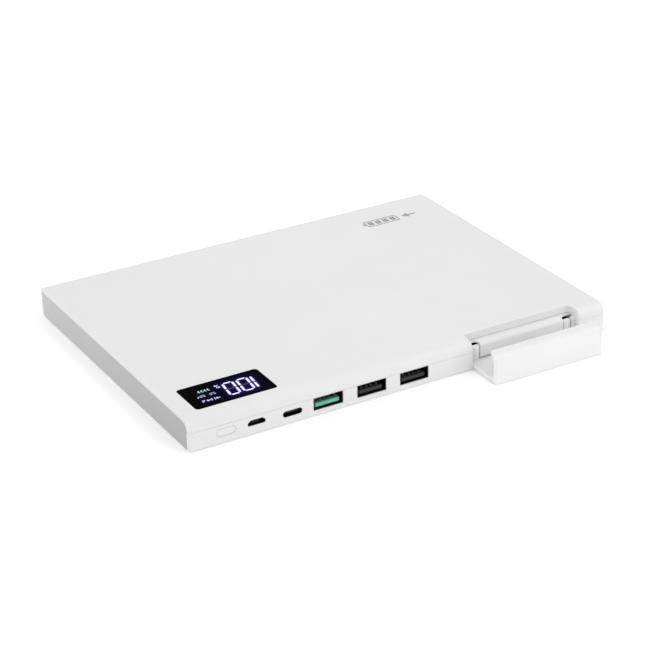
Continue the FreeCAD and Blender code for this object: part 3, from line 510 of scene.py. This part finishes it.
def figure(u, v, character, width, height, stroke):
    """Leaning seven-segment figure; width and height are between stroke centre lines."""
    left, right = u - width / 2, u + width / 2
    low, high = v - height / 2, v + height / 2
    upright = (stroke, stroke * 0.24)            # stroke width and end gap
    level = (stroke * 0.86, stroke * 0.42)
    bars = {
        "a": level_bar(left, right, high, *level),
        "g": level_bar(left, right, v, *level),
        "d": level_bar(left, right, low, *level),
        "f": upright_bar(left, v, high, *upright),
        "b": upright_bar(right, v, high, *upright),
        "e": upright_bar(left, low, v, *upright),
        "c": upright_bar(right, low, v, *upright),
    }
    return lean([bars[key] for key in SEGMENTS[character]], v)


def percent_sign():
    shapes = [[(1.72, -5.2), (2.05, -5.2), (3.2, -2.5), (2.87, -2.5)]]
    for u, v in ((1.85, -3.05), (3.05, -4.65)):
        shapes.append([(u + 0.46 * math.cos(angle), v + 0.56 * math.sin(angle))
                       for angle in np.linspace(0, 2 * math.pi, 17)[:-1]])
    return lean(shapes, PERCENT_V)


def upper_symbols():
    """Two arrows, two upright bars and three rising steps."""
    shapes = []
    for start in (5.2, 9.2):
        tip = start + ARROW_LENGTH
        shapes.append(box(start, tip - 1.1, ARROW_V - 0.22, ARROW_V + 0.22))
        shapes.append([(tip - 1.25, ARROW_V - 0.85), (tip - 0.35, ARROW_V),
                       (tip - 1.25, ARROW_V + 0.85)])
    for left, right in ((7.42, 7.74), (8.72, 9.04)):
        shapes.append(box(left, right, ARROW_V - 0.9, ARROW_V + 0.9))
    for i in range(3):
        shapes.append(box(11.75 + 0.48 * i, 12.03 + 0.48 * i,
                          ARROW_V - 0.9, ARROW_V - 0.3 + 0.6 * i))
    return lean(shapes, ARROW_V)


def readings():
    """Two small two-figure readings, each with a point, then a zigzag bolt."""
    shapes = []
    for start, text in ((5.75, "50"), (10.05, "30")):
        for i, character in enumerate(text):
            shapes += figure(start + i * READING_PITCH, READING_V, character, **READING_SIZE)
        point = box(start + 0.62, start + 0.92, READING_V - 0.80, READING_V - 0.5)
        shapes += lean([point], READING_V)
    # u, and v above the row's middle
    bolt = [(12.45, -0.1), (12.9, 0.85), (13.2, 0.85), (12.95, 0.2), (13.25, 0.2),
            (12.55, -0.95), (12.8, -0.1)]
    return shapes + lean([[(u, READING_V + v) for u, v in bolt]], READING_V)


def chevron(u):
    return [(u, -4.35), (u + 0.5, -4.35), (u + 1.02, -3.5), (u + 0.5, -2.65), (u, -2.65),
            (u + 0.52, -3.5)]


big = [bar for u, text in BIG_FIGURES for bar in figure(u, BIG_V, text, **BIG_SIZE)]
unlit = lean([level_bar(start, end, BIG_V, width=0.66, gap=0.1)
              for start, end in ((-9.7, -6.75), (-3.35, -0.4))], BIG_V)
percent = percent_sign()
small = upper_symbols() + readings()
green = [chevron(6.1 + i * MARK_PITCH) for i in range(4)]

window_low, window_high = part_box("display_window")
window_centre = ((window_low.x + window_high.x) / 2, (window_low.y + window_high.y) / 2)
window_z = window_high.z

lit = lit_segment("segment_lit", (0.90, 0.88, 1.0), strength=1.14)
lit_small = lit_segment("segment_small", (0.76, 0.71, 1.12), strength=1.05)
lit_green = lit_segment("segment_green", (0.52, 1.0, 0.82), strength=0.95)
dim = plastic("segment_dim", (0.085, 0.085, 0.125), rough=0.5, specular=0.05, edge=0.0)
# name, polygons, material, inset of the top in metres
for name, polygons, material, inset in (
        ("display_digits", big, lit, 0.00004),
        ("display_percent", percent, lit_small, 0.00002),
        ("display_symbols", small, lit_small, 0.00001),
        ("display_level_marks", green, lit_green, 0.00002),
        ("display_unlit_bars", unlit, dim, 0.00003)):
    slab(name, placed(window_centre, polygons), window_z + 0.00002, window_z + 0.00004,
         material, "display_plastic", inset)


# ------------------------------------------------ glow around the figures
GLOW_COLUMNS, GLOW_ROWS = 170, 78
GLOW_HALF_U, GLOW_HALF_V = 17.4, 8.8     # mm
GLOW_RIM = 1.0                           # mm over which the glow dies out at the border


def distance_to(points, polygon):
    """Distance from points to a filled polygon."""
    polygon = np.array(polygon)
    nearest = np.full(len(points), 1e9)
    inside = np.zeros(len(points), bool)
    for i, a in enumerate(polygon):
        b = polygon[(i + 1) % len(polygon)]
        edge = b - a
        along = np.clip(((points - a) @ edge) / (edge @ edge), 0, 1)
        away = np.linalg.norm(points - (a + along[:, None] * edge), axis=1)
        nearest = np.minimum(nearest, away)
        spans = (a[1] > points[:, 1]) != (b[1] > points[:, 1])
        crossing = a[0] + (points[:, 1] - a[1]) * (b[0] - a[0]) / (b[1] - a[1] + 1e-12)
        inside ^= spans & (points[:, 0] < crossing)
    nearest[inside] = 0
    return nearest


def halo(distance, strength, reach, power=1.2):
    return strength * np.exp(-(distance / reach) ** power)


def glow_sheet():
    """A fine grid just over the window that carries the light spilt by the figures."""
    grid = np.array([(u, v) for v in np.linspace(-GLOW_HALF_V, GLOW_HALF_V, GLOW_ROWS + 1)
                     for u in np.linspace(-GLOW_HALF_U, GLOW_HALF_U, GLOW_COLUMNS + 1)])
    blue_glow = np.zeros(len(grid))
    green_glow = np.zeros(len(grid))
    for poly in big:
        distance = distance_to(grid, poly)
        blue_glow += (halo(distance, strength=0.46, reach=0.34)
                      + halo(distance, strength=0.045, reach=1.1, power=1))
    for poly in small + percent:
        blue_glow += halo(distance_to(grid, poly), strength=0.10, reach=0.30)
    for poly in green:
        green_glow += halo(distance_to(grid, poly), strength=0.05, reach=0.32)
    rim = np.minimum(np.clip((GLOW_HALF_U - np.abs(grid[:, 0])) / GLOW_RIM, 0, 1),
                     np.clip((GLOW_HALF_V - np.abs(grid[:, 1])) / GLOW_RIM, 0, 1))
    mesh = bpy.data.meshes.new("display_glow")
    vertices = [(x, y, window_z + 0.00001) for x, y in placed(window_centre, [grid])[0]]
    row = GLOW_COLUMNS + 1
    starts = [j * row + i for j in range(GLOW_ROWS) for i in range(GLOW_COLUMNS)]
    mesh.from_pydata(vertices, [], [(k, k + 1, k + row + 1, k + row) for k in starts])
    for name, values in (("glow", np.minimum(blue_glow, 1.4) * rim),
                         ("glow_green", green_glow * rim)):
        attribute = mesh.attributes.new(name, "FLOAT", "POINT")
        attribute.data.foreach_set("value", values.astype(np.float32))
    mesh.update()
    add_to_case("display_glow", mesh, glow_acrylic("segment_glow"))


glow_sheet()

# ------------------------------------------------- printed mark on the top
# a battery outline with four full bars and an arrow beside it, in mm
OUTLINE_U, OUTLINE_WIDTH, OUTLINE_HEIGHT = 4.6, 17.4, 6.4
OUTLINE_LINE = 0.7
BAR_PITCH = 3.9


def top_mark():
    ink = print_ink("print_ink")
    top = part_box("top_cover")[1]
    centre = (top.x - 0.0290, top.y - 0.0185)
    heights = (top.z - 0.000004, top.z + 0.000008)
    outer, inner = placed(centre, [
        rounded_box(OUTLINE_U, OUTLINE_WIDTH, OUTLINE_HEIGHT, radius=1.3, steps=6),
        rounded_box(OUTLINE_U, OUTLINE_WIDTH - 2 * OUTLINE_LINE,
                    OUTLINE_HEIGHT - 2 * OUTLINE_LINE, radius=0.7, steps=6)])
    outline_slab("top_mark_outline", outer, inner, *heights, ink, "case_plastic")
    shapes = [rounded_box(OUTLINE_U + (i - 1.5) * BAR_PITCH, 2.7, 3.5, radius=0.35, steps=4)
              for i in range(4)]
    shapes.append(rounded_box(13.95, 0.9, 2.6, radius=0.3, steps=4))    # battery terminal
    shapes.append(box(-13.6, -9.6, -0.55, 0.55))                        # arrow shaft
    shapes.append([(-9.75, -2.3), (-6.2, 0), (-9.75, 2.3)])             # arrow head
    slab("top_mark_bars", placed(centre, shapes), *heights, ink, "case_plastic")


top_mark()

# ------------------------------------------------------------------- floor
FLOOR_HALF = 6.0
FLOOR_Z = -0.00003


def floor_paper(name):
    material, nodes, bsdf, coords = new_material(name)
    mottle = nodes.noise(coords, scale=60.0)
    # the sweep glows a little, more far out, and a touch more as the camera sees it
    position = nodes.new("NewGeometry").outputs["Position"]
    far = nodes.new("VectorMath", {0: position}, operation="LENGTH").outputs["Value"]
    seen = nodes.new("LightPath").outputs["Is Camera Ray"]
    glow = nodes.ramp(far, over=(0.45, 1.8), to=(0.13, 0.55))
    nodes.fill(bsdf, {
        "Base Color": nodes.mix(mottle, (0.896, 0.896, 0.896, 1), (0.906, 0.906, 0.906, 1)),
        "Roughness": 0.9,
        "Specular IOR Level": 0.1,
        "Emission Color": (1, 1, 1, 1),
        "Emission Strength": nodes.plus(glow, nodes.times(seen, 0.06))})
    return material


scene = bpy.context.scene
floor_mesh = bpy.data.meshes.new("floor")
floor_corners = box(-FLOOR_HALF, FLOOR_HALF, -FLOOR_HALF, FLOOR_HALF)
floor_mesh.from_pydata([(x, y, FLOOR_Z) for x, y in floor_corners], [], [(0, 1, 2, 3)])
floor = bpy.data.objects.new("floor", floor_mesh)
scene.collection.objects.link(floor)
floor_mesh.materials.append(floor_paper("floor_paper"))

# ------------------------------------------------------------------- world
# soft lights: direction they come from, power that narrows them, amount
SIDE_LOBES = (((-1, 0, 0.2), 1.0, 1.02), ((-1, 0.5, 0.1), 3.0, 0.73))
HIGH_LOBES = (((0.5, -0.6, 0.6), 6.0, 1.17), ((0.436, 0.785, 0.44), 8.0, 0.46))
GLOSS_CUT = 0.65       # share of the side light kept out of reflections
AMBIENT = 0.05
BACKDROP = 0.93        # least brightness the camera sees


def lobes(nodes, view, table):
    total = None
    for direction, power, amount in table:
        facing = nodes.dot(view, tuple(Vector(direction).normalized()))
        lobe = nodes.math("POWER", nodes.math("MAXIMUM", facing, 0.0), power)
        term = nodes.times(lobe, amount)
        total = term if total is None else nodes.plus(total, term)
    return total


def studio_world():
    world = bpy.data.worlds.new("studio")
    scene.world = world
    world.use_nodes = True
    world.node_tree.nodes.clear()
    nodes = Nodes(world.node_tree)
    output = nodes.new("OutputWorld")
    background = nodes.new("Background", {"Color": (1.0, 1.0, 1.0, 1)})
    nodes.fill(output, {0: background.outputs[0]})
    view = nodes.new("TexCoord").outputs["Generated"]
    path = nodes.new("LightPath").outputs
    # low light from the -X side, dimmed so that it doesn't mirror in the flat top
    side = lobes(nodes, view, SIDE_LOBES)
    cut = nodes.times(path["Is Glossy Ray"], GLOSS_CUT)
    side = nodes.times(side, nodes.math("SUBTRACT", 1.0, cut))
    high = lobes(nodes, view, HIGH_LOBES)
    total = nodes.plus(nodes.plus(side, high), AMBIENT)
    backdrop = nodes.times(path["Is Camera Ray"], BACKDROP)
    nodes.fill(background, {"Strength": nodes.math("MAXIMUM", total, backdrop)})


studio_world()

# ------------------------------------------------------------------ lights
# name, place, target, size, watts, share of the watts that may show as a reflection
SOFTBOXES = (
    ("softbox_above", (0.0, 0.05, 0.9), (0, 0, 0), 0.8, 2.10, 1.0),
    ("softbox_key", (0.35, -0.55, 0.75), (0, 0, 0), 0.7, 0.33, 1.0),
    ("softbox_back", (0.10, 0.45, 0.45), (0, 0.03, 0), 0.5, 0.58, 1.0),
    ("softbox_side", (0.55, -0.35, 0.30), (0.06, -0.08, 0), 0.35, 1.02, 0.25),
    ("softbox_front", (0.15, -0.6, 0.25), (0.06, -0.08, 0), 0.3, 0.62, 0.22),
)


def area_light(name, place, target, size, watts):
    light = bpy.data.lights.new(name, "AREA")
    light.shape = "RECTANGLE"
    light.size = light.size_y = size
    light.energy = watts
    lamp = bpy.data.objects.new(name, light)
    lamp.location = place
    aim = Vector(target) - Vector(place)
    lamp.rotation_euler = aim.to_track_quat("-Z", "Y").to_euler()
    lamp.visible_camera = False
    scene.collection.objects.link(lamp)
    return lamp


for name, place, target, size, watts, mirror in SOFTBOXES:
    if mirror < 1.0:
        fill = area_light(name + "_fill", place, target, size, watts * (1.0 - mirror))
        fill.visible_glossy = False
    area_light(name, place, target, size, watts * mirror)

# ------------------------------------------------------------------ camera
CAMERA_PLACE = Vector((-0.394469, -0.716041, 0.400177))
CAMERA_RIGHT = Vector((0.86800454, -0.49595757, -0.02437645))
CAMERA_DOWN = Vector((-0.23752411, -0.37159268, -0.89749717))
CAMERA_FORWARD = Vector((0.43606240, 0.78482162, -0.44034601))

lens = bpy.data.cameras.new("camera")
lens.sensor_fit = "HORIZONTAL"
lens.sensor_width = 36.0
lens.lens = 115.7311
lens.clip_start = 0.01
lens.clip_end = 50
camera = bpy.data.objects.new("camera", lens)
turn = Matrix((CAMERA_RIGHT, -CAMERA_DOWN, -CAMERA_FORWARD)).transposed()
camera.matrix_world = Matrix.Translation(CAMERA_PLACE) @ turn.to_4x4()
scene.collection.objects.link(camera)
scene.camera = camera

scene.view_settings.view_transform = "Standard"
scene.view_settings.look = "None"
scene.view_settings.exposure = 0.0
scene.view_settings.gamma = 1.0
